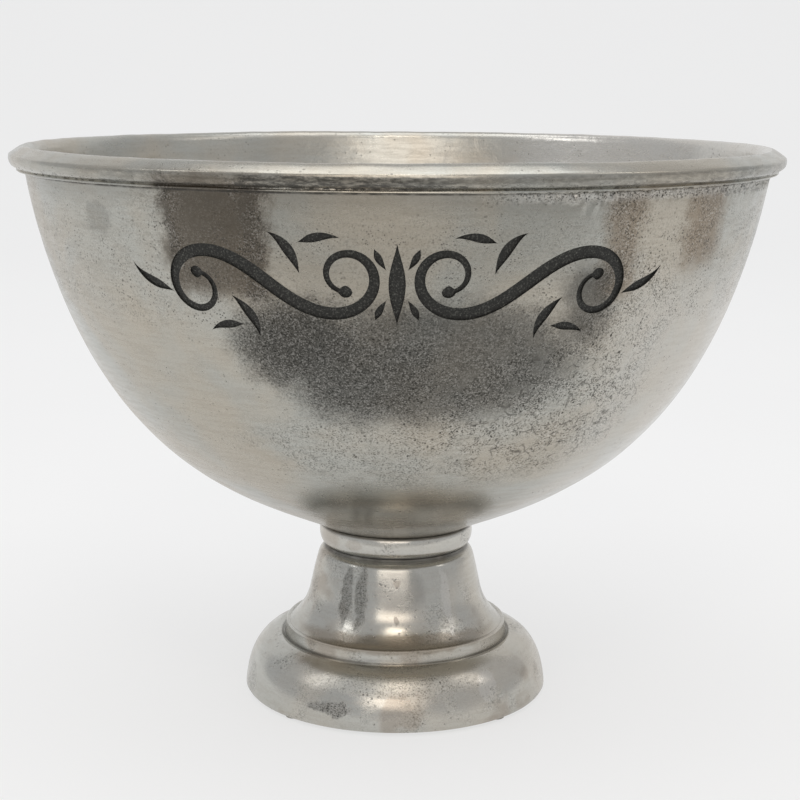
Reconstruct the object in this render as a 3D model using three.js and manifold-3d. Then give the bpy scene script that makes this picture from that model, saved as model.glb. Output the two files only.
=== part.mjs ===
// A footed champagne bucket, cast in metal, turned and polished.
// A deep round bowl stands on a plain collar ring and a hollow, bell-shaped foot. One bolt, put
// in from below through the foot and the collar, pulls the bowl down and holds the three
// castings together. Felt pads under the foot keep the metal off the table.
// Units are millimetres and +Z is up. The origin is on the axis, on the surface it stands on.
import * as THREE from 'three';
import { mergeVertices } from 'three/addons/utils/BufferGeometryUtils.js';
import Module from 'manifold-3d';

// ---- Driving dimensions. Heights are above the foot's bottom edge. ----

const FIT_GAP = 0.3; // between pieces that rest on or sit inside each other

// Felt pads
const PAD_THICKNESS = 1.5; // lifts the castings off the table
const PAD_R = 4.4;
const PAD_CIRCLE_R = 75.2; // the pads' centres, on the foot's bottom land
const PAD_COUNT = 4;
const PAD_FIRST_ANGLE = Math.PI / 4;

// Foot casting
const FOOT_LAND_INNER_R = 70.5;
const FOOT_BASE_R = 82.4;
const FOOT_BASE_EDGE = 1.6; // rounding of the bottom edge
const FOOT_TORUS_TOP = 30.5;
const FOOT_TORUS_TOP_R = 65.5;
const STEP_BOTTOM = 28; // the band between the foot's torus and its bell
const STEP_BOTTOM_R = 61.4;
const STEP_TOP = 36.8;
const STEP_TOP_R = 59.4;
const BELL_BOTTOM = 38;
const BELL_BOTTOM_R = 57;
const BELL_TOP = 74;
const BELL_TOP_R = 42.3;
const FOOT_TOP = 79.5;
const FOOT_TOP_R = 38.4;
const WEB_UNDERSIDE = 68.5; // the bolt's web across the top of the foot
const WEB_FILLET_R = 35.5;
const REGISTER_R = 30; // raised disc that centres the collar
const REGISTER_TOP = FOOT_TOP + 2;
const BOLT_HOLE_R = 5.5;

// Collar ring
const COLLAR_TOP = 91.5;
const COLLAR_BOTTOM_R = 38.8;
const COLLAR_WIDEST_R = 41.5;
const COLLAR_TOP_R = 40.7;
const COLLAR_BORE_R = 22;

// Bowl casting
const SEAT_BOTTOM = COLLAR_TOP + FIT_GAP;
const SEAT_R = 40.6;
const BOSS_R = 21.5; // passes down through the collar
const BOSS_BOTTOM = REGISTER_TOP + 1;
const TAPPED_HOLE_R = 5; // blind, closed above
const TAPPED_HOLE_TOP = 94.5;
const BOWL_FLOOR = 98.5; // inside, at the centre
const RIM_BOTTOM = 282.6;
const RIM_NECK_R = 192.1; // the bowl's wall where the rim bead meets it
const RIM_R = 200;
const RIM_WIDEST = 289; // height of the bead's widest place
const RIM_RIDGE = 292.2; // the crisp line where the bead's side meets its top
const RIM_RIDGE_R = 198.6;
const RIM_CROWN = 295;
const RIM_CROWN_R = 193;
const RIM_INNER_R = 187.3;

// Bolt and washers, under the web
const WASHER_THICKNESS = 2.5;
const FLAT_WASHER_R = 15;
const SPRING_WASHER_R = 9;
const WASHER_HOLE_R = 5.4;
const SPRING_WASHER_SLIT = 0.16; // radians left open in the split ring
const BOLT_R = 4.7;
const BOLT_ACROSS_FLATS = 17;
const BOLT_HEAD = 6.4;
const BOLT_LENGTH = 30;

// Facets round a full turn
const LARGE_TURN = 64;
const MEDIUM_TURN = 48;
const SMALL_TURN = 24;

// ---- Helpers ----

const point = (r, z) => new THREE.Vector2(r, z);

/** Points along a cubic curve, so that a long swept outline has only four driving points. */
function sweep(start, controlA, controlB, end, steps) {
  return new THREE.CubicBezierCurve(start, controlA, controlB, end).getPoints(steps);
}

/** A solid of revolution about +Z. Stretches of outline that share an end point are joined. */
function turned(stretches, facets) {
  const outline = [];
  for (const next of stretches.flat()) {
    const last = outline.at(-1);
    if (!last || last.distanceTo(next) > 1e-3) {
      outline.push(next);
    }
  }
  if (outline[0].x > 0) {
    outline.push(outline[0].clone());
  }
  const geometry = new THREE.LatheGeometry(outline, facets);
  geometry.rotateX(Math.PI / 2);
  return geometry;
}

const wasm = await Module();
wasm.setup();

/** A closed geometry as a solid that can be joined to another. */
function solid(geometry) {
  const bare = geometry.clone();
  bare.deleteAttribute('normal');
  bare.deleteAttribute('uv');
  const merged = mergeVertices(bare, 1e-3);
  return new wasm.Manifold(
    new wasm.Mesh({
      numProp: 3,
      vertProperties: merged.attributes.position.array,
      triVerts: new Uint32Array(merged.index.array),
    }),
  );
}

/** The solid's vertices and triangles as a geometry again. */
function geometryOf(joined) {
  const mesh = joined.getMesh();
  const geometry = new THREE.BufferGeometry();
  geometry.setAttribute('position', new THREE.BufferAttribute(mesh.vertProperties, 3));
  geometry.setIndex(new THREE.BufferAttribute(mesh.triVerts, 1));
  return geometry;
}

function named(name, geometry, material) {
  const mesh = new THREE.Mesh(geometry, material);
  mesh.name = name;
  return mesh;
}

// ---- Finishes ----

const platedMetal = () =>
  new THREE.MeshStandardMaterial({ color: 0xb3afa5, roughness: 0.28, metalness: 1 });
const zincPlatedSteel = () =>
  new THREE.MeshStandardMaterial({ color: 0x9a9c9e, roughness: 0.4, metalness: 1 });
const greyFelt = () =>
  new THREE.MeshStandardMaterial({ color: 0x9a958b, roughness: 0.95, metalness: 0 });

// ---- Pieces ----

/** Bowl: one casting with its rim bead, its seat and the boss that takes the bolt. */
function bowl() {
  const boss = [
    point(0, TAPPED_HOLE_TOP),
    point(TAPPED_HOLE_R, TAPPED_HOLE_TOP),
    point(TAPPED_HOLE_R, BOSS_BOTTOM),
    point(BOSS_R, BOSS_BOTTOM),
    point(BOSS_R, SEAT_BOTTOM),
    point(SEAT_R, SEAT_BOTTOM),
  ];
  const outside = sweep(
    point(41.5, 92.3),
    point(74.5, 111),
    point(165.2, 124),
    point(RIM_NECK_R, RIM_BOTTOM),
    12,
  );
  const beadSide = sweep(
    point(RIM_NECK_R + 1.5, RIM_BOTTOM),
    point(RIM_NECK_R + 5, RIM_BOTTOM + 0.8),
    point(RIM_R, RIM_WIDEST - 4),
    point(RIM_R, RIM_WIDEST),
    4,
  );
  const beadTop = [
    point(RIM_RIDGE_R, RIM_RIDGE),
    point(RIM_CROWN_R + 1.5, RIM_CROWN - 0.3),
    point(RIM_CROWN_R - 1, RIM_CROWN),
    point(RIM_INNER_R + 1.5, RIM_CROWN - 2),
  ];
  const inside = sweep(
    point(RIM_INNER_R, RIM_BOTTOM + 1),
    point(164, 143),
    point(83, BOWL_FLOOR),
    point(0, BOWL_FLOOR),
    12,
  );
  return turned([boss, outside, beadSide, beadTop, inside], LARGE_TURN);
}

/** Collar: a separate convex ring, bored for the boss and counterbored over the register. */
function collarRing() {
  const underside = FOOT_TOP + FIT_GAP;
  const counterbore = REGISTER_TOP + FIT_GAP;
  const inner = [
    point(COLLAR_BORE_R, COLLAR_TOP),
    point(COLLAR_BORE_R, counterbore),
    point(REGISTER_R + FIT_GAP, counterbore),
    point(REGISTER_R + FIT_GAP, underside),
  ];
  const outer = sweep(
    point(COLLAR_BOTTOM_R, underside),
    point(COLLAR_WIDEST_R, underside + 2.5),
    point(COLLAR_WIDEST_R + 0.7, COLLAR_TOP - 3),
    point(COLLAR_TOP_R, COLLAR_TOP),
    5,
  );
  return turned([inner, outer], MEDIUM_TURN);
}

/** Foot: a hollow casting with a torus base, a step, a bell and a web for the bolt. */
function foot() {
  const land = [point(FOOT_LAND_INNER_R, 0), point(FOOT_BASE_R - FOOT_BASE_EDGE, 0)];
  const torus = sweep(
    point(FOOT_BASE_R, FOOT_BASE_EDGE),
    point(81.3, 17),
    point(75.8, 27.7),
    point(FOOT_TORUS_TOP_R, FOOT_TORUS_TOP),
    6,
  );
  const step = [
    point(STEP_BOTTOM_R + 1, FOOT_TORUS_TOP - 0.9),
    point(STEP_BOTTOM_R, STEP_BOTTOM),
    point(STEP_TOP_R, STEP_TOP),
  ];
  const bell = sweep(
    point(BELL_BOTTOM_R, BELL_BOTTOM),
    point(49.5, 45),
    point(47.8, 50),
    point(46.5, 56),
    5,
  );
  const top = [
    point(BELL_TOP_R, BELL_TOP),
    point(FOOT_TOP_R + 1.5, FOOT_TOP - 1.5),
    point(FOOT_TOP_R, FOOT_TOP),
    point(REGISTER_R, FOOT_TOP),
    point(REGISTER_R, REGISTER_TOP),
    point(BOLT_HOLE_R, REGISTER_TOP),
    point(BOLT_HOLE_R, WEB_UNDERSIDE),
    point(WEB_FILLET_R, WEB_UNDERSIDE),
    point(39, 65),
  ];
  const bellInside = sweep(point(41.5, 56), point(43.5, 46), point(52, 28.5), point(58, 27), 5);
  const torusInside = sweep(
    point(58, 27),
    point(68, 25),
    point(72.5, 16),
    point(FOOT_LAND_INNER_R, 0),
    4,
  );
  return turned([land, torus, step, bell, top, bellInside, torusInside], MEDIUM_TURN);
}

/** Bolt: a hexagon head with a plain shank, its thread left out. It points up. */
function footBolt() {
  const cornerR = BOLT_ACROSS_FLATS / Math.sqrt(3);
  const head = new THREE.CylinderGeometry(cornerR, cornerR, BOLT_HEAD, 6);
  head.rotateX(Math.PI / 2);
  head.translate(0, 0, -BOLT_HEAD / 2);
  const sunk = 1; // the shank starts inside the head, so that the two join
  const shank = new THREE.CylinderGeometry(BOLT_R, BOLT_R, BOLT_LENGTH + sunk, SMALL_TURN);
  shank.rotateX(Math.PI / 2);
  shank.translate(0, 0, (BOLT_LENGTH - sunk) / 2);
  return geometryOf(solid(head).add(solid(shank)));
}

/** Spring washer: a split ring, drawn up flat. */
function springWasher() {
  const from = SPRING_WASHER_SLIT / 2;
  const to = 2 * Math.PI - SPRING_WASHER_SLIT / 2;
  const ring = new THREE.Shape();
  ring.absarc(0, 0, SPRING_WASHER_R, from, to, false);
  ring.absarc(0, 0, WASHER_HOLE_R, to, from, true);
  return new THREE.ExtrudeGeometry(ring, {
    depth: WASHER_THICKNESS - FIT_GAP,
    bevelEnabled: false,
    curveSegments: SMALL_TURN / 2,
  });
}

/** Flat washer: spreads the bolt's pull over the web. */
function flatWasher() {
  const thickness = WASHER_THICKNESS - FIT_GAP;
  const edge = 0.4;
  const section = [
    point(WASHER_HOLE_R, 0),
    point(FLAT_WASHER_R - edge, 0),
    point(FLAT_WASHER_R, edge),
    point(FLAT_WASHER_R, thickness),
    point(WASHER_HOLE_R, thickness),
  ];
  return turned([section], SMALL_TURN);
}

/** Felt pad: a small disc, stuck to the foot's bottom land. */
function feltPad() {
  const thickness = PAD_THICKNESS - FIT_GAP;
  const edge = 0.3;
  const section = [
    point(0, 0),
    point(PAD_R, 0),
    point(PAD_R, thickness - edge),
    point(PAD_R - edge, thickness),
    point(0, thickness),
  ];
  return turned([section], SMALL_TURN);
}

// ---- Assembly ----

const bucket = new THREE.Group();

const castings = new THREE.Group();
castings.position.z = PAD_THICKNESS;
castings.add(named('bowl', bowl(), platedMetal()));
castings.add(named('collar_ring', collarRing(), platedMetal()));
castings.add(named('foot', foot(), platedMetal()));
bucket.add(castings);

const flatWasherUnderside = WEB_UNDERSIDE - WASHER_THICKNESS;
const springWasherUnderside = flatWasherUnderside - WASHER_THICKNESS;
const washerOnWeb = named('flat_washer', flatWasher(), zincPlatedSteel());
washerOnWeb.position.z = flatWasherUnderside;
const washerOnHead = named('spring_washer', springWasher(), zincPlatedSteel());
washerOnHead.position.z = springWasherUnderside;
const bolt = named('foot_bolt', footBolt(), zincPlatedSteel());
bolt.position.z = springWasherUnderside - FIT_GAP;
castings.add(washerOnWeb, washerOnHead, bolt);

for (let i = 0; i < PAD_COUNT; i += 1) {
  const turn = new THREE.Group();
  turn.rotation.z = PAD_FIRST_ANGLE + (i * 2 * Math.PI) / PAD_COUNT;
  const pad = named(`felt_pad_${i + 1}`, feltPad(), greyFelt());
  pad.position.x = PAD_CIRCLE_R;
  turn.add(pad);
  bucket.add(turn);
}

export default bucket;
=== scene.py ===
# %% [markdown]
# # A footed champagne bucket in cast, plated metal
# The bucket is three castings that one bolt holds together: a deep round bowl, a collar ring
# and a hollow foot. All three were turned and polished by hand, so the shapes are bodies of
# revolution with the small faults of handwork: a rim that isn't quite even, pinholes, patches
# of tarnish, and grime in the crevices.
# The frame comes first. It says how large every piece is and where it sits, and nothing here
# moves or resizes it: this script only gives each piece its fine shape and its finish.

import math

import bpy
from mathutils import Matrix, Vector


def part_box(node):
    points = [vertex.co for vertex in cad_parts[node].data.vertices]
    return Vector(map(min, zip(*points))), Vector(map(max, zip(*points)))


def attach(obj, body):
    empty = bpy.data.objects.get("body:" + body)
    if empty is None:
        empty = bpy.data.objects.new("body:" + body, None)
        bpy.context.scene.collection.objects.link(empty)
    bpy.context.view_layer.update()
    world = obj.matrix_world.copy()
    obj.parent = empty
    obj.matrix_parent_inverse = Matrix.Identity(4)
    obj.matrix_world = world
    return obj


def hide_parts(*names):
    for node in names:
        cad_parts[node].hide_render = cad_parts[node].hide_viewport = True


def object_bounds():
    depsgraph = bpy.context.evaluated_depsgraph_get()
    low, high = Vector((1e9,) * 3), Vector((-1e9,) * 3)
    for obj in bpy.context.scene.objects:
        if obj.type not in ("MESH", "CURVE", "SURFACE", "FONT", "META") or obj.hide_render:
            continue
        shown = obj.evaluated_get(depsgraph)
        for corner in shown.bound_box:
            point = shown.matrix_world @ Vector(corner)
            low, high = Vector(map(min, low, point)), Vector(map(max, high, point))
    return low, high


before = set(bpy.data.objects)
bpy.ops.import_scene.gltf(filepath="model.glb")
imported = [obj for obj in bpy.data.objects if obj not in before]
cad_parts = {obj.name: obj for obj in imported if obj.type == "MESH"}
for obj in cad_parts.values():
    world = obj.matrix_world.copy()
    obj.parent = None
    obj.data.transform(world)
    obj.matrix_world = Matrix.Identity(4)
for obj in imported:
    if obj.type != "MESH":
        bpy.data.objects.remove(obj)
cad_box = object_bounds()
MM = 0.001
PAD_THICKNESS = 1.5  # millimetres; the castings' heights are measured from the pads' tops
print("frame:", sorted(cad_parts))
print("overall size in millimetres:", [round(v / MM, 1) for v in cad_box[1] - cad_box[0]])

# %% [markdown]
# ## The camera
# A product picture of a bowl is taken from a little above the rim and from about a metre
# away, with a long lens, so that the rim shows as a thin ellipse and the sides stay upright.
# The camera here looks along +Y and down by about eleven degrees. It is turned and rolled by
# a hair, as a camera on a tripod is.

# %% Set up the camera
CAMERA_DISTANCE = 0.9125
CAMERA_HEIGHT = 0.3342
CAMERA_TILT = 0.189  # radians below the horizon
CAMERA_YAW = -0.001
CAMERA_ROLL = -0.0055
CAMERA_LENS = 77.4

camera_data = bpy.data.cameras.new("camera")
camera_data.lens = CAMERA_LENS
camera_data.clip_start = 0.01
camera = bpy.data.objects.new("camera", camera_data)
camera.location = (0, -CAMERA_DISTANCE, CAMERA_HEIGHT)
camera.rotation_euler = (math.pi / 2 - CAMERA_TILT, CAMERA_ROLL, CAMERA_YAW)
bpy.context.scene.collection.objects.link(camera)
bpy.context.scene.camera = camera
bpy.context.scene.view_settings.view_transform = "Standard"

# %% [markdown]
# ## Turning an outline
# A potter or a metal spinner makes a round shape by turning one outline. Blender's Spin
# operator does the same: an outline drawn as a chain of points is swept about an axis. A
# Screw modifier would give the same shape, but Spin leaves ordinary faces at once, which is
# what the cuts below need.
# The outline is drawn one by one: a point, then an extrusion to the next one, and so on. Long
# curves come from the cubic curve formula, so each has only four driving points.


# %% Outline and turning helpers
def only(*pieces):
    """Selects these objects and nothing else, and makes the first one active."""
    bpy.ops.object.select_all(action="DESELECT")
    for piece in pieces:
        piece.select_set(True)
    bpy.context.view_layer.objects.active = pieces[0]


def sweep(start, control_a, control_b, end, steps):
    """Points (radius, height) along a cubic curve, both ends included."""
    points = []
    for i in range(steps + 1):
        t = i / steps
        weights = ((1 - t) ** 3, 3 * t * (1 - t) ** 2, 3 * t * t * (1 - t), t**3)
        corners = (start, control_a, control_b, end)
        points.append(tuple(sum(w * c[k] for w, c in zip(weights, corners)) for k in (0, 1)))
    return points


def turned(name, outline, steps, lift=PAD_THICKNESS):
    """Draws an outline (radius, height) in millimetres, point by point, and spins it."""
    place = [Vector((r * MM, 0, (z + lift) * MM)) for r, z in outline]
    bpy.ops.object.select_all(action="DESELECT")
    bpy.ops.mesh.primitive_plane_add(size=MM)
    piece = bpy.context.object
    piece.name = name
    bpy.ops.object.mode_set(mode="EDIT")
    bpy.ops.mesh.select_mode(type="VERT")
    bpy.ops.mesh.select_all(action="SELECT")
    bpy.ops.mesh.merge(type="CENTER")
    bpy.ops.transform.translate(value=place[0])
    for here, there in zip(place, place[1:]):
        bpy.ops.mesh.extrude_vertices_move(TRANSFORM_OT_translate={"value": there - here})
    bpy.ops.mesh.select_all(action="SELECT")
    bpy.ops.mesh.spin(steps=steps, angle=2 * math.pi, center=(0, 0, 0), axis=(0, 0, 1))
    bpy.ops.mesh.select_all(action="SELECT")
    bpy.ops.mesh.remove_doubles(threshold=0.01 * MM)
    bpy.ops.mesh.select_all(action="SELECT")
    bpy.ops.mesh.normals_make_consistent(inside=False)
    bpy.ops.object.mode_set(mode="OBJECT")
    return piece


def select_faces(piece, wanted):
    """Goes into edit mode with only those faces selected for which wanted(face) is true."""
    only(piece)
    bpy.ops.object.mode_set(mode="EDIT")
    bpy.ops.mesh.select_mode(type="FACE")
    bpy.ops.mesh.select_all(action="DESELECT")
    bpy.ops.object.mode_set(mode="OBJECT")
    for face in piece.data.polygons:
        face.select = wanted(face)
    bpy.ops.object.mode_set(mode="EDIT")


def finish_shading(piece, degrees):
    only(piece)
    bpy.ops.object.shade_smooth_by_angle(angle=math.radians(degrees))


def apply_modifiers(piece):
    only(piece)
    for modifier in list(piece.modifiers):
        bpy.ops.object.modifier_apply(modifier=modifier.name)


def report(piece):
    triangles = sum(len(face.vertices) - 2 for face in piece.data.polygons)
    size = [round(v / MM, 1) for v in piece.dimensions]
    print(f"{piece.name}: {triangles} triangles, {size} mm")


# %% [markdown]
# ## The marks of the hand
# A casting that was ground and buffed by hand is never quite round. A Displace modifier with
# a soft cloud texture moves the surface by a few tenths of a millimetre, which is too little
# to see in the outline and just enough to make the reflections wander. A vertex group keeps
# the seats true, where the castings meet, because those were turned on a lathe.


# %% Unevenness helper
def uneven(piece, name, patch_size, amount, weight):
    """Moves the surface in and out. weight(place) says how much, from 0 to 1."""
    group = piece.vertex_groups.new(name=name)
    for vertex in piece.data.vertices:
        w = weight(vertex.co)
        if w > 0:
            group.add([vertex.index], w, "REPLACE")
    texture = bpy.data.textures.new(name, "CLOUDS")
    texture.noise_scale = patch_size * MM
    displace = piece.modifiers.new(name, "DISPLACE")
    displace.texture = texture
    displace.texture_coords = "LOCAL"
    displace.strength = amount * MM
    displace.mid_level = 0.5
    displace.vertex_group = name
    apply_modifiers(piece)


def ramp(value, low, high):
    """0 below low, 1 above high, and a smooth step between them."""
    t = min(max((value - low) / (high - low), 0), 1)
    return t * t * (3 - 2 * t)


# %% [markdown]
# ## The bowl
# The bowl is one casting. Below, hidden by the collar, it has a flat seat and a boss with a
# blind hole for the bolt. Outside, one long curve runs from the seat to the rim. The rim is a
# heavy bead: its side bulges, a crisp ridge separates the side from a slanting flat on top,
# and a thin lip hangs at its lower edge with a crevice behind it, where the buffing wheel
# can't reach.

# %% Turn the bowl
RIM_R = cad_box[1].x / MM
RIM_TOP = cad_box[1].z / MM - PAD_THICKNESS
RIM_BOTTOM = RIM_TOP - 12.4
WALL_R = RIM_R - 7.9  # the outside of the wall, just under the bead
INNER_R = RIM_R - 12.7
COLLAR_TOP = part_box("collar_ring")[1].z / MM - PAD_THICKNESS
FIT_GAP = 0.3  # millimetres between pieces that rest on each other
SEAT = COLLAR_TOP + FIT_GAP
BOWL_STEPS = 448

boss = [(0, 94.5), (5, 94.5), (5, 82.5), (21, 82.5), (21.5, 83), (21.5, SEAT), (40.2, SEAT)]
OUTSIDE = sweep((41.5, 92.3), (74.5, 111), (165.2, 124), (WALL_R, RIM_BOTTOM - 0.6), 78)
crevice = [(WALL_R + 0.1, RIM_BOTTOM + 0.3), (WALL_R + 0.8, RIM_BOTTOM + 0.5)]
lip = sweep(
    (WALL_R + 1.5, RIM_BOTTOM + 0.3),
    (WALL_R + 3.5, RIM_BOTTOM - 0.5),
    (WALL_R + 5.2, RIM_BOTTOM + 0.5),
    (WALL_R + 3.7, RIM_BOTTOM + 1.4),
    6,
)
bead_side = sweep(
    (WALL_R + 3.6, RIM_BOTTOM + 1.9),
    (WALL_R + 6.2, RIM_BOTTOM + 2.2),
    (RIM_R, RIM_TOP - 8.9),
    (RIM_R, RIM_TOP - 5.4),
    9,
)
ridge = sweep(
    (RIM_R - 0.1, RIM_TOP - 4.9),
    (RIM_R - 0.1, RIM_TOP - 4.4),
    (RIM_R - 0.3, RIM_TOP - 4.1),
    (RIM_R - 0.7, RIM_TOP - 3.8),
    3,
)
top_flat = [(RIM_R - 2, RIM_TOP - 2.9), (RIM_R - 3.9, RIM_TOP - 1.6), (RIM_R - 5.8, RIM_TOP - 0.5)]
crown = sweep(
    (RIM_R - 7, RIM_TOP - 0.05),
    (RIM_R - 9.6, RIM_TOP + 0.1),
    (RIM_R - 11.6, RIM_TOP - 1.2),
    (RIM_R - 12.1, RIM_TOP - 4.5),
    7,
)
inside = sweep((INNER_R, RIM_TOP - 13.5), (164, 143), (83, 98.5), (0, 98.5), 52)

bowl = turned(
    "bowl_casting",
    boss + OUTSIDE + crevice + lip + bead_side + ridge + top_flat + crown + inside,
    BOWL_STEPS,
)
wall_from = (SEAT + PAD_THICKNESS + 2) * MM
uneven(bowl, "hand_ground_wall", 70, 0.9, lambda p: ramp(p.z, wall_from, wall_from + 0.03))
uneven(bowl, "buffed_rim", 22, 0.6, lambda p: ramp(p.z, 0.270, 0.288))
report(bowl)

# %% [markdown]
# ## The ornament
# A band of calligraphic scrollwork is cut into the front of the bowl: on each side of a
# centre leaf a great S scroll with small leaves and a tail, the right half mirrored on the
# left. Each stroke is thin at its ends and swells in the middle, as a broad pen draws it.
# A scroll's bend changes evenly along its length, which is what makes a spiral look right, so
# a stroke needs only its middle point, its direction there, its length and the bend at its
# two ends. The strokes are drawn flat as curves with a flat blade for a cross-section, turned
# into mesh, and laid on the bowl; Solidify makes cutters of them, and a Boolean takes the
# cutters out of the casting. A bump map would be easier, but it would have no walls and would
# disappear at the edges of the bowl.


# %% Draw one swelled stroke
def stroke(middle, heading, length, bends, width, fullest=0.5, tips=(0, 0), ball=0):
    """Points (x, y, half width) in millimetres along a stroke whose bend changes evenly."""
    stations = 2 * round(8 + length / 5 + ball * 6)
    share = [0.5 - 0.5 * math.cos(math.pi * i / stations) for i in range(stations + 1)]
    turn = [length * s * (bends[0] + (bends[1] - bends[0]) * s / 2) for s in share]
    half_way = length * 0.5 * (bends[0] + (bends[1] - bends[0]) / 4)
    way = [math.radians(heading) + t - half_way for t in turn]
    x, y = [0.0], [0.0]
    for i in range(stations):
        step = length * (share[i + 1] - share[i])
        mean = (way[i] + way[i + 1]) / 2
        x.append(x[-1] + step * math.cos(mean))
        y.append(y[-1] + step * math.sin(mean))
    shift = (middle[0] - x[stations // 2], middle[1] - y[stations // 2])
    points = []
    for i, s in enumerate(share):
        rise = s / fullest if s < fullest else (1 - s) / (1 - fullest)
        tip = tips[0] if s < fullest else tips[1]
        half = width / 2 * (tip + (1 - tip) * math.sin(math.pi / 2 * rise) ** 1.3)
        from_end = min(s, 1 - s) * length - ball
        if abs(from_end) < ball:
            half = max(half, math.sqrt(ball * ball - from_end * from_end))
        if i in (0, stations):
            half = 0.12
        points.append((x[i] + shift[0], y[i] + shift[1], half))
    return points


RIGHT_HALF = [
    stroke((57, 0), 38, 216, (0.136, -0.136), 6.6, tips=(0.3, 0.3), ball=2.8),
    stroke((118.5, -2.5), 24, 26, (-0.03, 0.085), 4.6, fullest=0.42),
    stroke((46.5, 15.5), 58, 24, (-0.01, -0.07), 4.8),
    stroke((67.5, -15.5), 58, 24, (-0.07, -0.01), 4.8),
    stroke((33, 21.4), 170, 19, (0, 0.07), 4, fullest=0.4),
    stroke((81, -21.4), 170, 19, (0.07, 0), 4, fullest=0.6),
    stroke((7.5, 11.5), 62, 11, (0.03, 0.03), 3.2, fullest=0.6),
    stroke((7.5, -11.5), -62, 11, (-0.03, -0.03), 3.2, fullest=0.6),
]
CENTRE_LEAF = stroke((0, 0), 90, 38, (0, 0), 7.4)
strokes = RIGHT_HALF + [[(-x, y, half) for x, y, half in s] for s in RIGHT_HALF] + [CENTRE_LEAF]
print(len(strokes), "strokes")

# %% [markdown]
# To lay a stroke on the bowl, its x becomes an angle round the axis and its y a distance
# along the wall, up from the ornament's middle height. The bowl's own outline gives the
# radius at that distance.

# %% Make the cutters
ORNAMENT_HEIGHT = 241  # of its middle, above the foot's edge, in millimetres
ORNAMENT_R = 184
CUT_DEPTH = 0.95
CUTTER_PROUD = 2.2

blade_data = bpy.data.curves.new("blade", "CURVE")
blade_line = blade_data.splines.new("POLY")
blade_line.points.add(1)
blade_line.points[0].co = (-1, 0, 0, 1)
blade_line.points[1].co = (1, 0, 0, 1)
blade = bpy.data.objects.new("blade", blade_data)
bpy.context.scene.collection.objects.link(blade)


def on_bowl(flat):
    """The place on the outside of the bowl of a point of the flat drawing."""
    distance = flat.y
    start = min(range(len(OUTSIDE)), key=lambda i: abs(OUTSIDE[i][1] - ORNAMENT_HEIGHT))
    step = 1 if distance >= 0 else -1
    here, left = start, abs(distance)
    while True:
        (r0, z0), (r1, z1) = OUTSIDE[here], OUTSIDE[here + step]
        piece_length = math.hypot(r1 - r0, z1 - z0)
        if piece_length >= left:
            break
        left -= piece_length
        here += step
    t = left / piece_length
    radius, height = r0 + t * (r1 - r0), z0 + t * (z1 - z0)
    angle = flat.x / ORNAMENT_R
    z = height + PAD_THICKNESS
    return Vector((radius * math.sin(angle), -radius * math.cos(angle), z)) * MM


def cutter(points):
    """A flat stroke as a thick blade that stands through the bowl's surface."""
    data = bpy.data.curves.new("stroke", "CURVE")
    data.dimensions = "2D"
    data.fill_mode = "NONE"
    data.bevel_mode = "OBJECT"
    data.bevel_object = blade
    line = data.splines.new("POLY")
    line.points.add(len(points) - 1)
    for point, (x, y, half) in zip(line.points, points):
        point.co = (x, y, 0, 1)
        point.radius = half
    piece = bpy.data.objects.new("stroke", data)
    bpy.context.scene.collection.objects.link(piece)
    only(piece)
    bpy.ops.object.convert(target="MESH")
    piece = bpy.context.object
    for vertex in piece.data.vertices:
        vertex.co = on_bowl(vertex.co)
    middle = piece.data.polygons[len(piece.data.polygons) // 2]
    if middle.normal.dot(Vector((middle.center.x, middle.center.y, 0))) < 0:
        piece.data.flip_normals()
    solidify = piece.modifiers.new("thickness", "SOLIDIFY")
    solidify.thickness = (CUT_DEPTH + CUTTER_PROUD) * MM
    solidify.offset = (CUTTER_PROUD - CUT_DEPTH) / (CUTTER_PROUD + CUT_DEPTH)
    apply_modifiers(piece)
    return piece


cutters = [cutter(points) for points in strokes]
only(*cutters)
bpy.ops.object.join()
cutters = bpy.context.object
bpy.data.objects.remove(blade)
report(cutters)

# %% [markdown]
# ## Finishes
# A finish is a small program of shader nodes. Written node by node it would be hard to read,
# so a number in the shader is wrapped in a class with Python's own arithmetic: 1 - mask * 0.5
# adds the Math nodes for it. Everything is placed in Object coordinates, which are metres in
# the bucket's own frame, so a patch of tarnish stays where it is put.


# %% A number in the shader
class Number:
    """A value socket with arithmetic. Each operation adds one Math node."""

    def __init__(self, finish, socket):
        self.finish = finish
        self.socket = socket

    def maths(self, operation, first, second):
        node = self.finish.node("ShaderNodeMath", {"operation": operation}, {0: first, 1: second})
        return Number(self.finish, node.outputs[0])

    def __add__(self, other):
        return self.maths("ADD", self, other)

    def __radd__(self, other):
        return self.maths("ADD", other, self)

    def __sub__(self, other):
        return self.maths("SUBTRACT", self, other)

    def __rsub__(self, other):
        return self.maths("SUBTRACT", other, self)

    def __mul__(self, other):
        return self.maths("MULTIPLY", self, other)

    def __rmul__(self, other):
        return self.maths("MULTIPLY", other, self)

    def __truediv__(self, other):
        return self.maths("DIVIDE", self, other)

    def __rtruediv__(self, other):
        return self.maths("DIVIDE", other, self)

    def __neg__(self):
        return self.maths("MULTIPLY", self, -1)


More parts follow.
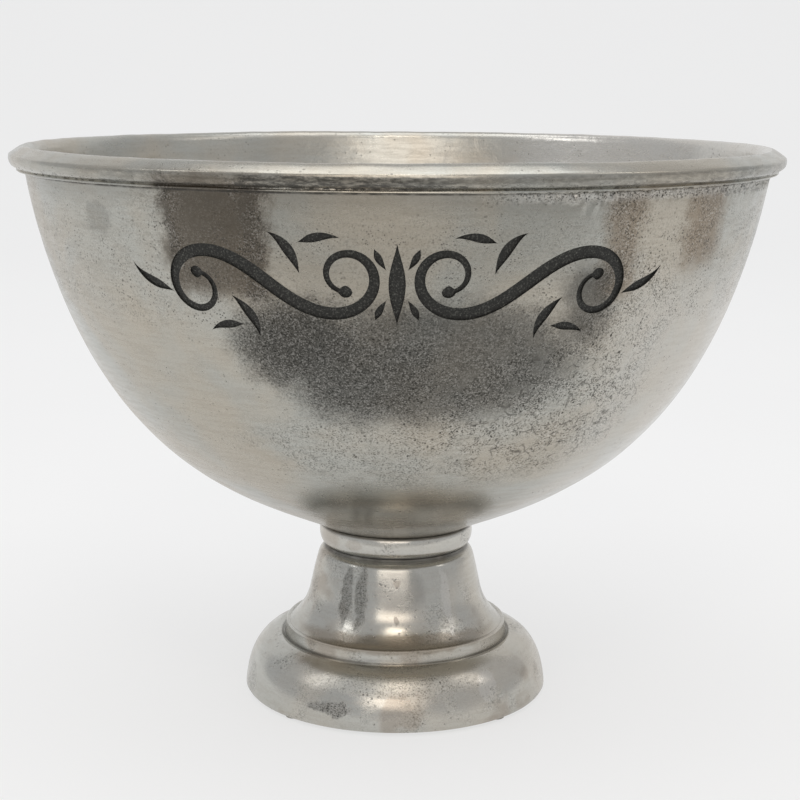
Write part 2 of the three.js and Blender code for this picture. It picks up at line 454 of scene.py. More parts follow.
# %% A finish
class Finish:
    """A material with one Principled shader, and short names for the nodes it uses."""

    def __init__(self, name):
        self.material = bpy.data.materials.new(name)
        self.material.use_nodes = True
        self.nodes = self.material.node_tree.nodes
        self.links = self.material.node_tree.links
        self.shader = self.nodes["Principled BSDF"]
        place = self.node("ShaderNodeTexCoord")
        self.place = place.outputs["Object"]
        parts = self.node("ShaderNodeSeparateXYZ", {}, {0: self.place})
        self.x, self.y, self.z = (Number(self, parts.outputs[i]) for i in range(3))
        self.angle = self.x.maths("ARCTAN2", self.x, -self.y)
        self.radius = self.x.maths("POWER", self.x * self.x + self.y * self.y, 0.5)

    def node(self, kind, settings=None, inputs=None):
        """Adds a node: its settings first, then the values or links of its sockets."""
        node = self.nodes.new(kind)
        for name, value in (settings or {}).items():
            setattr(node, name, value)
        for key, value in (inputs or {}).items():
            self.feed(node.inputs[key], value)
        return node

    def feed(self, socket, value):
        if isinstance(value, Number):
            value = value.socket
        if isinstance(value, bpy.types.NodeSocket):
            self.links.new(value, socket)
        else:
            socket.default_value = value

    def set(self, **inputs):
        for name, value in inputs.items():
            self.feed(self.shader.inputs[name.replace("_", " ").title()], value)

    def soft(self, value, low, high):
        """0 at low, 1 at high, smooth between. low may be the larger one."""
        inputs = {"Value": value, "From Min": low, "From Max": high}
        node = self.node("ShaderNodeMapRange", {"interpolation_type": "SMOOTHSTEP"}, inputs)
        return Number(self, node.outputs["Result"])

    def larger(self, first, *others):
        """The largest of these numbers at each place."""
        for other in others:
            first = first.maths("MAXIMUM", first, other)
        return first

    def noise(self, size, detail=2.0, roughness=0.5, distortion=0.0, stretch=None):
        """Soft noise with features of about this size in millimetres, from 0 to 1."""
        vector = self.place
        if stretch:
            inputs = {0: vector, 1: stretch}
            vector = self.node("ShaderNodeVectorMath", {"operation": "MULTIPLY"}, inputs).outputs[0]
        inputs = {
            "Vector": vector,
            "Scale": 1 / (size * MM),
            "Detail": detail,
            "Roughness": roughness,
            "Distortion": distortion,
        }
        return Number(self, self.node("ShaderNodeTexNoise", {}, inputs).outputs[0])

    def cells(self, size, feature="F1", at=None):
        """A Voronoi pattern of cells of about this size in millimetres."""
        inputs = {"Vector": at or self.place, "Scale": 1 / (size * MM), "Randomness": 1.0}
        return self.node("ShaderNodeTexVoronoi", {"feature": feature}, inputs)

    def dots(self, size, spread):
        """1 in the middle of each cell, 0 beyond this share of its size."""
        distance = Number(self, self.cells(size).outputs["Distance"])
        return self.soft(distance, spread, spread * 0.5)

    def grit(self, size):
        """A random value from 0 to 1 for each grain."""
        tone = self.cells(size).outputs["Color"]
        grains = self.node("ShaderNodeSeparateXYZ", {}, {0: tone})
        return Number(self, grains.outputs[0])

    def faces_out(self):
        """1 where the surface looks away from the axis, 0 where it looks towards it."""
        normal = self.node("ShaderNodeNewGeometry").outputs["Normal"]
        parts = self.node("ShaderNodeSeparateXYZ", {}, {0: normal})
        across, along = (Number(self, parts.outputs[i]) for i in (0, 1))
        return self.soft((across * self.x + along * self.y) / self.radius, -0.02, 0.08)

    def veins(self, size, width):
        """Thin wandering lines, 1 on the line, that break up and join again."""
        inputs = {"Vector": self.place, "Scale": 90, "Detail": 3}
        drift = self.node("ShaderNodeTexNoise", {}, inputs)
        push = {0: drift.outputs["Color"], 1: (size * MM,) * 3}
        push = self.node("ShaderNodeVectorMath", {"operation": "MULTIPLY"}, push).outputs[0]
        bent = self.node("ShaderNodeVectorMath", {"operation": "ADD"}, {0: self.place, 1: push})
        lines = self.cells(size, "DISTANCE_TO_EDGE", at=bent.outputs[0])
        line = self.soft(Number(self, lines.outputs["Distance"]), width / size, 0)
        return line * self.soft(self.noise(size * 0.6, detail=1), 0.48, 0.6)

    def blend(self, mask, first, second):
        """Colour: first where the mask is 0, second where it is 1."""
        inputs = {0: mask, 6: first, 7: second}
        return self.node("ShaderNodeMix", {"data_type": "RGBA"}, inputs).outputs[2]

    def bump(self, height, strength, distance, onto=None):
        """Roughens the surface by height, in units of distance (millimetres)."""
        inputs = {"Height": height, "Strength": strength, "Distance": distance * MM}
        if onto:
            inputs["Normal"] = onto
        return self.node("ShaderNodeBump", {}, inputs).outputs[0]


def colour(r, g, b):
    return (r, g, b, 1.0)


# %% [markdown]
# ## Plated metal
# The castings are aluminium with a nickel plate, polished and then toned. Nickel is a little
# warmer than chrome. Close up it isn't one grey: broad warm and cool clouds, fine streaks from
# the buffing wheel, grit where the sandy skin of the casting shows through, pinholes that hold
# black polish, and golden brown tarnish. Each of these is a mask from 0 to 1 that changes the
# colour, the roughness and the bump together, because on real metal they come together.
# The function below makes the finish that all three castings share. Patches that belong to
# one casting are handed to it as extra masks. Some of these are not marks on the metal but
# painted reflections, painted highlights and painted shade, laid on with the same colours.

# %% The shared metal finish
WARM = colour(0.475, 0.44, 0.375)
COOL = colour(0.44, 0.44, 0.405)
# The bright colour also paints reflections and highlights.
BRIGHT = colour(0.72, 0.70, 0.665)
# The dark skin colour also paints shade and reflections of shade and of dark things.
DARK_SKIN_AND_SHADE = colour(0.062, 0.060, 0.055)
# The tarnish colour also paints brown reflections on the bowl.
TARNISH_AND_REFLECTION = colour(0.22, 0.165, 0.11)
FLECK = colour(0.03, 0.03, 0.027)
# The grime colour also paints shade under the bowl's lip and round the foot's neck.
GRIME_AND_SHADE = colour(0.045, 0.042, 0.036)


def plated(finish, pitted, dark, brown, polish_and_sheen, grime_and_shade, veins=None, dented=None):
    """Plated metal. The masks say where it is pitted, dark, brown, bright, dirty or dented. The
    dark and dirty masks also carry painted shade, and the dark, brown and bright masks painted
    reflections and highlights.
    """
    clouds = finish.noise(60, detail=3, roughness=0.55, distortion=0.4)
    sand = finish.noise(0.8, detail=3, roughness=0.7)
    speck = finish.grit(0.6) * 0.5 + sand
    dark_fleck = finish.soft(speck, 0.78, 1.0)
    pale_fleck = finish.soft(speck, 0.68, 0.48)
    streaks = finish.soft(finish.noise(16, detail=3, roughness=0.6, stretch=(1, 1, 9)), 0.4, 0.62)
    in_clusters = finish.soft(finish.noise(15, detail=2), 0.46, 0.6)
    holes = finish.dots(3.1, 0.24) * in_clusters * (0.3 + pitted * 0.7)

    base = finish.blend(finish.soft(clouds, 0.35, 0.65), COOL, WARM)
    base = finish.blend(streaks * 0.11, base, TARNISH_AND_REFLECTION)
    # the brown mask also paints brown reflections on the bowl
    base = finish.blend(brown * 0.9, base, TARNISH_AND_REFLECTION)
    # the dark mask also paints shade and reflections of shade and of dark things
    base = finish.blend(dark * 0.9, base, DARK_SKIN_AND_SHADE)
    # the bright mask also paints reflections and highlights
    base = finish.blend(polish_and_sheen * 0.6, base, BRIGHT)
    base = finish.blend(dark_fleck * (0.07 + pitted * 0.78), base, FLECK)
    base = finish.blend(pale_fleck * (0.05 + pitted * (0.42 - dark * 0.24)), base, BRIGHT)
    # the dirt mask also carries painted shade under the bowl's lip and round the foot's neck
    stains_and_shade = finish.larger(holes, grime_and_shade)
    if veins:
        stains_and_shade = finish.larger(stains_and_shade, veins * 0.8)
    base = finish.blend(stains_and_shade, base, GRIME_AND_SHADE)

    skin = pitted * 0.16 + finish.soft(clouds, 0.3, 0.7) * 0.05 + streaks * 0.04
    roughness = 0.21 + skin + dark_fleck * pitted * 0.12 - polish_and_sheen * 0.06 + stains_and_shade * 0.25
    height = sand * (0.25 + pitted * 1.6) - dark_fleck * pitted * 0.8 - stains_and_shade * 1.5
    normal = finish.bump(height, 0.4, 0.16)
    wander = finish.noise(9, detail=1.5)
    if dented:
        wander = wander + dented * finish.noise(13, detail=4, roughness=0.6, distortion=1.0) * 5
        roughness = roughness + dented * 0.07
    normal = finish.bump(wander, 0.25, 0.25, onto=normal)
    finish.set(base_color=base, roughness=roughness, metallic=1 - grime_and_shade * 0.6, normal=normal)


# %% [markdown]
# ## The bowl's marks and painted reflections
# Seen from the front, the bowl has a grainy crescent below the ornament, darkened as a painted
# reflection of the shaded floor under it; a brown painted reflection with dark edges at the upper
# left, a dark one and two narrow golden ones at the upper right; sandy skin with fine cracks at
# the lower right, and a rim whose side is scuffed dark in the middle. The inside and the right
# flank are brightened as painted reflections, and a band under the rim and the wall under its
# lip are darkened as painted shade.
# An image map could hold them all, but it would stretch and blur; masks built from an angle
# round the axis and a height stay sharp at any size. A little noise added to the angle and
# the height makes their edges ragged.

# %% The bowl's finish
def bowl_finish():
    finish = Finish("nickel_bowl")
    ragged = finish.noise(14, detail=4, roughness=0.65) - 0.5
    grain = finish.noise(0.9, detail=3, roughness=0.7) - 0.5
    around = finish.angle + ragged * 0.11
    height = finish.z / MM + ragged * 14
    wall = finish.faces_out()

    def patch(left, right, bottom, top, edge=0.04, fade=8):
        """A patch between two angles and two heights, with its edges this soft."""
        across = finish.soft(around, left - edge, left + edge)
        across = across * finish.soft(around, right + edge, right - edge)
        along = finish.soft(height, bottom - fade, bottom + fade)
        return across * along * finish.soft(height, top + fade, top - fade)

    def oval(at_angle, at_height, half_angle, half_height, edge=0.5):
        """An oval patch with a soft edge that breaks up into grains."""
        a = (around - at_angle) / half_angle
        b = (height - at_height) / half_height
        return finish.soft(a * a + b * b + grain * 1.2, 1 + edge, 1 - edge)

    # Heights from the rim bead's lower edge
    rim = finish.z / MM - (RIM_BOTTOM + PAD_THICKNESS)
    rim_side = finish.soft(rim, 1.2, 2.0) * finish.soft(rim, 8.4, 6.6)
    rim_front = finish.soft(around, -0.42, -0.30) * finish.soft(around, 0.22, -0.02)
    in_corner = finish.soft(finish.radius / MM, WALL_R + 1.4, WALL_R + 0.6)

    # Patches. The crescent is darkened as a painted reflection of the shaded floor under the bowl;
    # the left patch and its edges, the right wedge and the two gold patches are painted
    # reflections.
    deep = finish.larger(oval(-0.24, 216, 0.18, 22, 0.8), oval(-0.07, 202, 0.24, 23, 0.8) * 0.94)
    crescent = finish.larger(deep, oval(0.10, 208, 0.40, 29, 0.6) * 0.86)
    left_reflection = patch(-0.57, -0.30, 238, 290, 0.03, 6)
    left_reflection_edges = finish.larger(
        patch(-0.38, -0.30, 232, 290, 0.03, 6),
        patch(-0.58, -0.52, 244, 290, 0.03, 6),
    )
    right_dark_reflection = patch(0.42, 0.56, 214, 252, 0.05, 7)
    right_gold_reflection = patch(0.50, 0.61, 236, 284, 0.03, 5)
    far_gold_reflection = patch(0.76, 0.92, 246, 284, 0.04, 7)
    smudge = oval(-0.80, 269, 0.045, 9)
    foot_end = finish.soft(height, 142, 112)
    band = finish.soft(height, 214, 228) * finish.soft(height, 285, 262) * 0.22
    raw = finish.soft(rim, -6, -2.5) * finish.soft(rim, 0.6, -0.2) * finish.soft(around, 0.1, 0.35)
    raw = raw * in_corner

    # Where it is dark: scuffs on the rim, a smudge, and the painted reflections of shade and of
    # dark things
    brushed = finish.noise(5, detail=5, roughness=0.7, stretch=(1, 1, 3.5))
    scuffed = finish.soft(brushed, 0.36, 0.6)
    rim_dark = 0.2 + scuffed * 0.3 + rim_front * (0.2 + scuffed * 0.3)
    dark = finish.larger(
        crescent,
        left_reflection_edges * 0.75,
        left_reflection * 0.66,
        right_dark_reflection * 0.85,
        smudge * 0.3,
        rim_side * rim_dark * finish.soft(around, -1.0, -0.6),
        # painted shade: a band just below the rim bead is darkened all round
        finish.soft(rim, -13, -1) * finish.soft(rim, 1, 0) * 0.24,
    )

    # Where it is brown: the painted brown reflections, and a warmer tone towards the foot
    brown = finish.larger(left_reflection * 0.8, right_gold_reflection * 0.75, far_gold_reflection * 0.8, foot_end * 0.25)

    # Where the casting's skin shows
    skin = finish.larger(
        oval(0.42, 182, 0.38, 36) * 0.85,
        oval(0.1, 162, 0.6, 20) * 0.6,
        oval(0.63, 220, 0.17, 36) * 0.7,
        left_reflection_edges * 0.8,
        right_gold_reflection * 0.7,
        far_gold_reflection * 0.6,
        oval(-0.62, 262, 0.16, 22) * 0.25,
        band,
        crescent * 0.6,
    )
    skin = skin * finish.soft(finish.noise(11, detail=3), 0.3, 0.55)
    pitted = finish.larger(skin, deep * 0.9, raw * 0.9)

    # Where it is bright: pale raw metal in the corner, and painted reflections on the right flank
    # and inside the bowl, brighter to the right
    right_flank_reflection = patch(0.62, 1.3, 120, 238, 0.12, 20) * 0.5
    painted_light_inside = (0.15 + finish.soft(finish.x, 0.05, 0.10)) * (1 - wall)
    polish_and_sheen = finish.larger(finish.larger(right_flank_reflection, raw * 0.5) * wall, painted_light_inside)

    # Where dirt sits: in the crevice under the rim, on its side, and in small black holes. On the
    # wall under the lip the same black is painted shade.
    crevice_dirt_and_shade = finish.soft(rim, -1.4, -0.4) * finish.soft(rim, 1.2, 0.8)
    crevice_dirt_and_shade = crevice_dirt_and_shade * finish.soft(finish.radius / MM, WALL_R + 2.4, WALL_R + 1.4)
    crevice_dirt_and_shade = crevice_dirt_and_shade * (0.5 + finish.soft(finish.noise(4, detail=3), 0.35, 0.6) * 0.45)
    side_dirt = finish.soft(rim, 1.0, 1.9) * finish.soft(rim, 5.5, 2.2)
    fraying = finish.noise(4.2, detail=5, roughness=0.75, stretch=(1, 1, 2.4))
    side_dirt = side_dirt * finish.soft(fraying + rim_front * 0.05, 0.53, 0.60)
    peppered = finish.dots(1.5, 0.34) * finish.soft(finish.noise(10, detail=3), 0.42, 0.62)
    peppered = peppered * finish.larger(band * 4, crescent * 0.6)
    grime_and_shade = wall * finish.larger(
        crevice_dirt_and_shade * (1 - raw * 0.5),
        side_dirt * (0.55 + rim_front * 0.35),
        peppered * 0.85,
    )
    veins = finish.veins(8, 0.6) * oval(0.49, 182, 0.32, 32) * wall * 0.7
    dented = 1 - wall
    plated(finish, pitted * wall, dark * wall, brown * wall, polish_and_sheen, grime_and_shade, veins, dented)
    return finish.material


def recess_finish():
    """The floor of the ornament: left as it was cut, and blackened."""
    finish = Finish("blackened_recess")
    grain = finish.noise(0.9, detail=4, roughness=0.75)
    rub = finish.soft(grain, 0.5, 0.68)
    base = finish.blend(rub * 0.6, colour(0.018, 0.018, 0.016), colour(0.20, 0.20, 0.18))
    normal = finish.bump(grain, 0.8, 0.35)
    roughness = 0.55 - rub * 0.15
    finish.set(base_color=base, roughness=roughness, metallic=0.4 + rub * 0.4, normal=normal)
    return finish.material


# %% [markdown]
# The Boolean gives the cut's new faces the cutter's own material, so the blackened recess
# comes with the cut.

# %% Cut the ornament into the bowl
bowl.data.materials.clear()
bowl.data.materials.append(bowl_finish())
cutters.data.materials.clear()
blackened_recess = recess_finish()
cutters.data.materials.append(blackened_recess)
bowl.data.materials.append(blackened_recess)
engrave = bowl.modifiers.new("engrave", "BOOLEAN")
engrave.operation = "DIFFERENCE"
engrave.solver = "EXACT"
engrave.object = cutters
apply_modifiers(bowl)
bpy.data.objects.remove(cutters)
report(bowl)

# %% [markdown]
# Under the right half of the rim the casting was never dressed: small rounded lumps of raw
# metal are left in the corner between the lip and the wall. The faces there are too large to
# show them, so that stretch alone is subdivided, and a finer cloud texture moves it.


# %% Leave the corner under the rim raw
def rawness(place):
    """How raw the casting is here: most on the right, under the front of the rim."""
    below_rim = place.z / MM - (RIM_BOTTOM + PAD_THICKNESS)
    height = ramp(below_rim, -7, -3) * (1 - ramp(below_rim, -0.3, 0.5))
    outside = 1 if math.hypot(place.x, place.y) > (WALL_R - 4) * MM else 0
    angle = math.atan2(place.x, -place.y)
    stretch = ramp(angle, 0.1, 0.4) * (1 - ramp(angle, 1.1, 1.45))
    return height * outside * stretch


select_faces(bowl, lambda face: rawness(face.center) > 0.02)
bpy.ops.mesh.subdivide(number_cuts=3)
bpy.ops.object.mode_set(mode="OBJECT")
uneven(bowl, "raw_corner", 2.6, 3.2, rawness)
finish_shading(bowl, 40)
report(bowl)

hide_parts("bowl")
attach(bowl, "root")

# %% [markdown]
# ## The collar and the foot
# The collar is a plain convex ring, bored for the boss and relieved underneath to sit over
# the register on the foot. The foot is a hollow casting: a torus at the base, a step with a
# fine lip, and a bell that narrows to the neck. Inside, a flat web takes the bolt.

# %% Turn the collar
FOOT_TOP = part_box("collar_ring")[0].z / MM - PAD_THICKNESS - FIT_GAP
REGISTER_TOP = FOOT_TOP + 2
COLLAR_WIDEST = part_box("collar_ring")[1].x / MM
STEPS = 288

collar_outline = [
    (22, COLLAR_TOP - 0.4),
    (22, REGISTER_TOP + FIT_GAP),
    (30 + FIT_GAP, REGISTER_TOP + FIT_GAP),
    (30 + FIT_GAP, FOOT_TOP + FIT_GAP),
    (38.2, FOOT_TOP + FIT_GAP),
]
collar_outline += sweep(
    (38.9, FOOT_TOP + 0.7),
    (COLLAR_WIDEST + 0.3, FOOT_TOP + 3),
    (COLLAR_WIDEST + 0.6, COLLAR_TOP - 3.2),
    (40.9, COLLAR_TOP - 0.5),
    16,
)
collar_outline += [(40.3, COLLAR_TOP), (22.4, COLLAR_TOP), (22, COLLAR_TOP - 0.4)]
collar = turned("collar_casting", collar_outline, STEPS)
uneven(collar, "filed_collar", 16, 0.35, lambda p: ramp(math.hypot(p.x, p.y), 0.0395, 0.0405))
finish_shading(collar, 40)
report(collar)

# %% Turn the foot
BASE_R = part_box("foot")[1].x / MM

land = [(70.5, 0), (BASE_R - 2.6, 0), (BASE_R - 0.9, 0.5)]
torus = sweep((BASE_R, 1.9), (81.3, 17), (75.8, 27.7), (65.5, 30.5), 28)
roll_in = sweep((65.5, 30.5), (63.8, 30.6), (62.5, 30.3), (61.6, 29.5), 5)
band = [(61.1, 29.5), (60.9, 30.2), (59.9, 35.2)]
band_lip = [(60.1, 35.8), (60.0, 36.5), (59.5, 36.9), (58.8, 36.9), (58.3, 36.6)]
bell = sweep((57.2, 37.2), (49.5, 45), (47.8, 50), (46.5, 56), 14)
shoulder = [(45.4, 61), (44.3, 66), (43.2, 70.5), (42.4, 73.6)]
shoulder += sweep((42.1, 74.6), (41.6, 76.2), (40.6, 77), (39.8, 77.4), 4)
neck = [(39.0, 78.0), (38.6, 78.8), (38.2, FOOT_TOP), (30, FOOT_TOP), (30, REGISTER_TOP - 0.4)]
neck += [(29.6, REGISTER_TOP), (5.5, REGISTER_TOP), (5.5, 68.5), (35.5, 68.5)]
inside_web = sweep((35.5, 68.5), (37.8, 68.5), (39, 67.6), (39.2, 65.4), 5)
inside_bell = sweep((41.5, 56), (43.5, 46), (52, 28.5), (58, 27), 12)
inside_torus = sweep((58, 27), (68, 25), (72.5, 16), (70.5, 0), 12)

foot_outline = land + torus + roll_in[1:] + band + band_lip + bell + shoulder + neck
foot_outline += inside_web[1:] + inside_bell + inside_torus[1:]
foot = turned("foot_casting", foot_outline, STEPS)


def above_land(place):
    """The bottom land and the seat at the top stay true."""
    return ramp(place.z, 0.004, 0.012) * (1 - ramp(place.z, 0.074, 0.079))


uneven(foot, "hand_ground_foot", 34, 0.7, above_land)
finish_shading(foot, 38)
report(foot)


# %% [markdown]
# The foot and the collar share one finish. It has its own marks: two dark streaks down the
# bell, a smear near the bottom edge, brown spots, and dirt in the crevice above the torus, at
# the collar's top and on the step, which the buffing wheel passes over. It also has painted
# light: shade round the neck under the collar, a darkened front of the bell, and highlights on
# the right of the bell and of the torus. The lines of dirt and shade are placed by height
# alone, because they run all the way round.

# %% The foot's and the collar's finish
def foot_finish():
    finish = Finish("nickel_foot")
    edge = (finish.noise(9, detail=4, roughness=0.6) - 0.5) * 1.0
    around = finish.angle + edge * 0.2
    height = finish.z / MM + edge * 5

    def spot(at_angle, at_height, half_angle, half_height):
        a = (around - at_angle) / half_angle
        b = (height - at_height) / half_height
        return finish.soft(a * a + b * b, 1.5, 0.5)

    streaks = finish.larger(spot(-0.60, 61, 0.08, 16), spot(-0.41, 61, 0.07, 16)) * 0.6
    smudge = finish.larger(spot(-0.43, 12, 0.15, 2.6), spot(-0.36, 12, 0.04, 4)) * 0.7
    # painted shade: the front of the bell is darkened where a lamp's reflection falls
    shaded_bell_front = spot(0.05, 66, 0.3, 12) * 0.4
    spots = finish.larger(spot(0, 69, 0.035, 2.3), spot(0.01, 51, 0.035, 2.3)) * 0.6
    collar_stain = spot(-0.57, 88, 0.12, 3) * 0.5
    stain = spot(0.0, 40, 1.1, 4) * 0.6
    clouded = finish.soft(finish.noise(24), 0.56, 0.68) * 0.6
    rough_clouds = finish.soft(finish.noise(20, detail=3), 0.5, 0.66) * 0.5
    torus_crest = spot(0.0, 24, 0.6, 4.5) * 0.5
    # painted highlights on the right of the bell and of the torus
    painted_highlights = finish.larger(spot(0.62, 60, 0.06, 18), spot(0.66, 20, 0.09, 8)) * 0.75
    buffed = 0.35 - stain * 0.3 - streaks * 0.3
    dark = finish.larger(streaks, shaded_bell_front, smudge, spots)
    brown = finish.larger(stain, clouded, collar_stain, spots)
    pitted = finish.larger(rough_clouds, smudge * 1.4, streaks, torus_crest)
    polish_and_sheen = finish.larger(finish.soft(height, 82, 85) * 0.6, buffed, painted_highlights)
    z = finish.z / MM
    # painted shade round the neck, under the collar; the lines at the torus and the collar's top
    # are dirt
    shade_under_collar = finish.soft(z, 78.6, 80) * finish.soft(z, 83.4, 81.6)
    top_line = finish.soft(z, 91.4, 92.6)
    band_line = finish.soft(z, 29.9, 30.7) * finish.soft(z, 32.2, 31.3)
    band_line = band_line * finish.soft(finish.radius / MM, 63.4, 62.3)
    lines = finish.larger(shade_under_collar, band_line * 0.6, top_line * 0.8)
    grime_and_shade = lines * (0.45 + finish.noise(5) * 0.5)
    plated(finish, pitted, dark, brown, polish_and_sheen, grime_and_shade)
    return finish.material


foot_metal = foot_finish()
for piece, node in ((collar, "collar_ring"), (foot, "foot")):
    piece.data.materials.clear()
    piece.data.materials.append(foot_metal)
    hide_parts(node)
    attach(piece, "root")

# %% [markdown]
# ## The fixings
# Turned over, the foot shows the bolt that holds everything: a hexagon head, a split spring
# washer and a broad flat washer under it. The head's corners are rounded off by a cone, as on
# every bolt, which a Boolean intersection with a turned blank gives.


# %% The bolt
def joined(piece, tool, operation):
    """Cuts or joins one piece with another, which is used up."""
    modifier = piece.modifiers.new("join", "BOOLEAN")
    modifier.operation = operation
    modifier.solver = "EXACT"
    modifier.object = tool
    apply_modifiers(piece)
    bpy.data.objects.remove(tool)


bolt_low, bolt_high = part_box("foot_bolt")
head_flats = (bolt_high.x - bolt_low.x) / MM
head_corner = head_flats / math.sqrt(3)
head_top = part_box("spring_washer")[0].z / MM - FIT_GAP
head_bottom = bolt_low.z / MM
head_height = head_top - head_bottom

bpy.ops.object.select_all(action="DESELECT")
bpy.ops.mesh.primitive_cylinder_add(
    vertices=6,
    radius=head_corner * MM,
    depth=head_height * MM,
    location=(0, 0, (head_top + head_bottom) / 2 * MM),
    rotation=(0, 0, math.pi / 6),
)
bolt = bpy.context.object
bolt.name = "bolt_M10"
bpy.ops.object.transform_apply(location=True, rotation=True, scale=True)
blank = turned(
    "blank",
    [
        (0, head_bottom),
        (head_flats / 2 - 0.6, head_bottom),
        (head_corner + 0.2, head_bottom + 1.1),
        (head_corner + 0.2, head_top - 0.4),
        (head_corner - 0.8, head_top + 0.2),
        (0, head_top + 0.2),
    ],
    96,
    lift=0,
)
joined(bolt, blank, "INTERSECT")
shank_top = bolt_high.z / MM
shank = turned(
    "shank",
    [
        (0, head_top - 1),
        (4.7, head_top - 1),
        (4.7, shank_top - 1),
        (3.9, shank_top),
        (0, shank_top),
    ],
    96,
    lift=0,
)
joined(bolt, shank, "UNION")
finish_shading(bolt, 30)
report(bolt)

# %% [markdown]
# Both washers are turned. The spring washer then gets its split: a thin block, taken away by
# a Boolean, which also closes the two cut ends. Two Bisects would do the same, but they would
# have to be told which side to keep.

# %% The washers
spring_low, spring_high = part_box("spring_washer")
flat_low, flat_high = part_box("flat_washer")


def ring(name, low, high, inner, edge):
    """A ring between two heights with its corners rounded off by a small edge."""
    outer = high.x / MM
    bottom, top = low.z / MM, high.z / MM
    outline = [
        (inner, bottom),
        (outer - edge, bottom),
        (outer - edge * 0.3, bottom + edge * 0.3),
        (outer, bottom + edge),
        (outer, top - edge),
        (outer - edge * 0.3, top - edge * 0.3),
        (outer - edge, top),
        (inner, top),
        (inner, bottom),
    ]
    return turned(name, outline, 144, lift=0)


flat_washer = ring("washer_flat", flat_low, flat_high, 5.4, 0.4)
spring_washer = ring("washer_spring", spring_low, spring_high, 5.4, 0.35)
slot_half = 0.7 * MM
slot_cut = (spring_high.x / MM + 1) * MM
bpy.ops.object.select_all(action="DESELECT")
slot_place = (slot_cut / 2, 0, (spring_low.z + spring_high.z) / 2)
bpy.ops.mesh.primitive_cube_add(size=1, location=slot_place)
slot_tool = bpy.context.object
slot_tool.scale = (slot_cut, slot_half * 2, 4 * MM)
only(slot_tool)
bpy.ops.object.transform_apply(location=True, rotation=True, scale=True)
joined(spring_washer, slot_tool, "DIFFERENCE")
for washer in (flat_washer, spring_washer):
    finish_shading(washer, 30)
    report(washer)


# %% Zinc-plated steel
def zinc_steel():
    finish = Finish("zinc_steel")
    rings = finish.noise(0.8, detail=2, stretch=(1, 1, 6))
    bloom = finish.noise(6, detail=4, roughness=0.7)
    clouds = finish.soft(bloom, 0.4, 0.65)
    base = finish.blend(clouds, colour(0.46, 0.47, 0.49), colour(0.60, 0.60, 0.58))
    dirt = finish.soft(finish.noise(3, detail=3), 0.6, 0.72)
    base = finish.blend(dirt * 0.6, base, colour(0.14, 0.12, 0.10))
    normal = finish.bump(rings, 0.3, 0.08)
    roughness = 0.34 + bloom * 0.2
    finish.set(base_color=base, roughness=roughness, metallic=1 - dirt * 0.4, normal=normal)
    return finish.material


steel = zinc_steel()
fixings = {"foot_bolt": bolt, "flat_washer": flat_washer, "spring_washer": spring_washer}
for node, piece in fixings.items():
    piece.data.materials.clear()
    piece.data.materials.append(steel)
    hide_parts(node)
    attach(piece, "root")

# %% [markdown]
# ## The felt pads
# Four thin felt discs are stuck under the foot. Felt is matted wool, so the punched edge is
# fuzzy and the face is uneven: the disc is turned with a soft edge, moved by a fine cloud
# texture and given a mottled, very rough pale grey. Each of the four is turned on its own, with
# its own mesh.


# %% Felt
def felt():
    finish = Finish("grey_felt")
    tufts = finish.noise(0.5, detail=4, roughness=0.7)
    mat = finish.noise(2.2, detail=2)
    fluff = finish.soft(tufts, 0.35, 0.7)
    base = finish.blend(fluff, colour(0.24, 0.23, 0.21), colour(0.46, 0.44, 0.40))
    base = finish.blend(finish.soft(mat, 0.5, 0.7) * 0.4, base, colour(0.28, 0.26, 0.23))
    finish.set(base_color=base, roughness=0.95, normal=finish.bump(tufts, 0.9, 0.25))
    return finish.material


felt_grey = felt()
for number in range(1, 5):
    node = f"felt_pad_{number}"
    low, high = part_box(node)
    centre = (low + high) / 2
    top = (high.z - low.z) / MM
    radius = (high.x - low.x) / 2 / MM
    pad = turned(
        f"pad_{number}",
        [
            (0, 0),
            (radius * 0.5, 0),
            (radius * 0.92, 0),
            (radius * 0.99, top * 0.25),
            (radius * 0.99, top * 0.7),
            (radius * 0.93, top),
            (radius * 0.5, top),
            (0, top),
        ],
        48,
        lift=0,
    )
    pad.location = (centre.x, centre.y, 0)
    only(pad)
    bpy.ops.object.transform_apply(location=True, rotation=True, scale=True)
    inset = top * 0.2 * MM
    uneven(pad, "matted_wool", 0.9, 0.1, lambda p: ramp(p.z, inset, inset * 2))
    finish_shading(pad, 50)
    pad.data.materials.clear()
    pad.data.materials.append(felt_grey)
    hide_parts(node)
    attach(pad, "root")
report(pad)

# %% [markdown]
# ## The studio
# The bucket stands on a pale paper sweep that runs back and up behind it, so there is no
# horizon. The room is evenly bright, and soft boxes overhead and at the sides put long
# highlights on the metal. A polished bowl shows the room more than the light: most of the
# front reflects the floor before it, so a card there, which the camera doesn't see, sets the
# tone of the wall, and two warm lamps in front put the bright places inside and on the foot.

# %% The paper sweep
PAPER_FRONT = -3.0
PAPER_BACK = 3.4
PAPER_WIDTH = 9.0
PAPER_RISE = 4.0

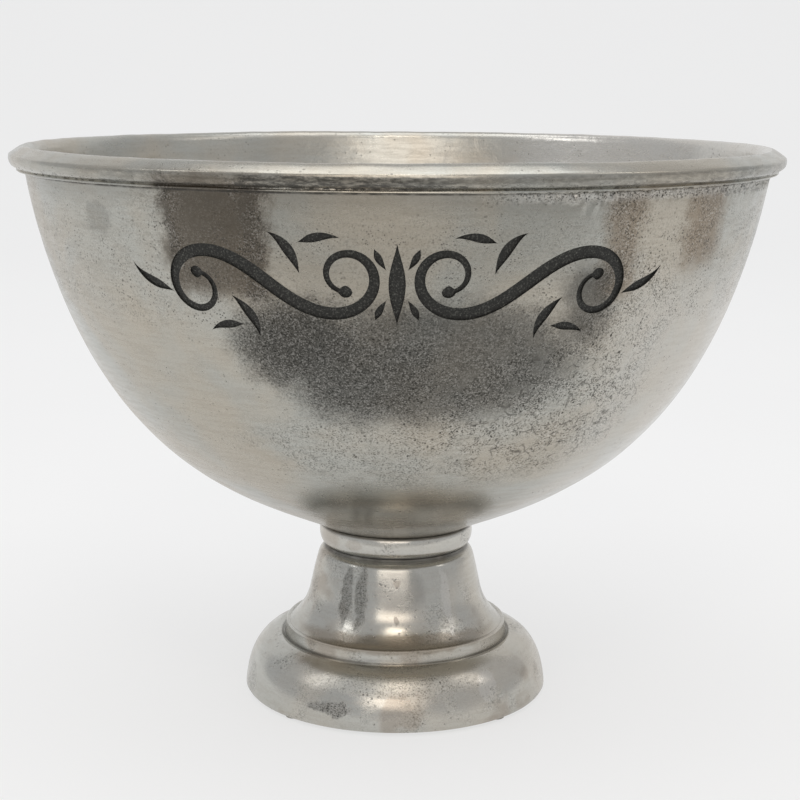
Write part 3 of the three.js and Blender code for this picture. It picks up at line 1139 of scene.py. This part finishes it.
bpy.ops.object.select_all(action="DESELECT")
bpy.ops.mesh.primitive_plane_add(size=1, location=(0, (PAPER_FRONT + PAPER_BACK) / 2, 0))
paper = bpy.context.object
paper.name = "paper_sweep"
paper.scale = (PAPER_WIDTH, PAPER_BACK - PAPER_FRONT, 1)
bpy.ops.object.transform_apply(location=False, rotation=False, scale=True)
bpy.ops.object.mode_set(mode="EDIT")
bpy.ops.mesh.select_mode(type="EDGE")
bpy.ops.mesh.select_all(action="DESELECT")
bpy.ops.object.mode_set(mode="OBJECT")
back_edge_y = max(v.co.y for v in paper.data.vertices)
for edge in paper.data.edges:
    ends = [paper.data.vertices[i].co.y for i in edge.vertices]
    edge.select = min(ends) > back_edge_y - 0.001
bpy.ops.object.mode_set(mode="EDIT")
bpy.ops.mesh.extrude_edges_move(TRANSFORM_OT_translate={"value": (0, 0, PAPER_RISE)})
bpy.ops.object.mode_set(mode="OBJECT")
for edge in paper.data.edges:
    ends = [paper.data.vertices[i].co for i in edge.vertices]
    edge.select = all(abs(e.y - back_edge_y) < 0.001 and e.z < 0.001 for e in ends)
bpy.ops.object.mode_set(mode="EDIT")
bpy.ops.mesh.bevel(offset=1.6, segments=24, profile=0.5)
bpy.ops.object.mode_set(mode="OBJECT")
finish_shading(paper, 60)


def paper_finish():
    finish = Finish("pale_paper")
    fibre = finish.noise(400, detail=3)
    base = finish.blend(fibre, colour(0.26, 0.26, 0.26), colour(0.28, 0.28, 0.28))
    finish.set(base_color=base, roughness=0.9)
    finish.shader.inputs["Specular IOR Level"].default_value = 0.1
    finish.shader.inputs["Emission Color"].default_value = colour(1, 1, 1)
    finish.shader.inputs["Emission Strength"].default_value = 0.625
    return finish.material


paper.data.materials.append(paper_finish())

# %% The room and the soft boxes
world = bpy.data.worlds.new("room")
world.use_nodes = True
world.node_tree.nodes["Background"].inputs["Color"].default_value = colour(0.82, 0.83, 0.85)
world.node_tree.nodes["Background"].inputs["Strength"].default_value = 0.72
bpy.context.scene.world = world


def soft_box(name, place, aim, size, power, tint=(1, 1, 1)):
    data = bpy.data.lights.new(name, "AREA")
    data.shape = "RECTANGLE"
    data.size, data.size_y = size
    data.energy = power
    data.color = tint
    box = bpy.data.objects.new(name, data)
    box.location = place
    box.rotation_euler = (Vector(aim) - Vector(place)).to_track_quat("-Z", "Y").to_euler()
    bpy.context.scene.collection.objects.link(box)


soft_box("overhead", (0, -0.1, 2.3), (0, 0, 0.2), (2.2, 1.8), 16)
soft_box("window_right", (1.9, -0.5, 1.75), (0, 0, 0.15), (0.35, 1.3), 3, (1, 0.95, 0.9))
soft_box("window_left", (-1.9, -0.7, 1.75), (0, 0, 0.15), (0.45, 1.3), 3.8)
soft_box("lamp_high", (0.02, -1.25, 1.5), (0, 0, 0.1), (0.42, 0.36), 3.2, (1, 0.92, 0.82))
soft_box("lamp_low", (-0.1, -2.1, 0.82), (0, 0, 0.25), (1.6, 0.8), 6.6, (1, 0.9, 0.8))


def card(name, place, aim, size, tone):
    """A card that only the metal sees."""
    bpy.ops.object.select_all(action="DESELECT")
    bpy.ops.mesh.primitive_plane_add(size=1, location=place)
    piece = bpy.context.object
    piece.name = name
    piece.scale = (size[0], size[1], 1)
    piece.rotation_euler = (Vector(aim) - Vector(place)).to_track_quat("Z", "Y").to_euler()
    finish = Finish(name)
    shade = finish.noise(120, detail=2)
    finish.set(base_color=finish.blend(shade, tone, colour(*[c * 0.7 for c in tone[:3]])))
    piece.data.materials.append(finish.material)
    piece.visible_camera = False
    piece.visible_shadow = False
    piece.visible_diffuse = False


card("floor_in_front", (0, -1.25, 0.004), (0, -1.25, 1), (2.4, 1.7), colour(0.62, 0.62, 0.61))

# %% Measure and finish
print("CAD box:   ", [[round(v / MM, 2) for v in corner] for corner in cad_box])
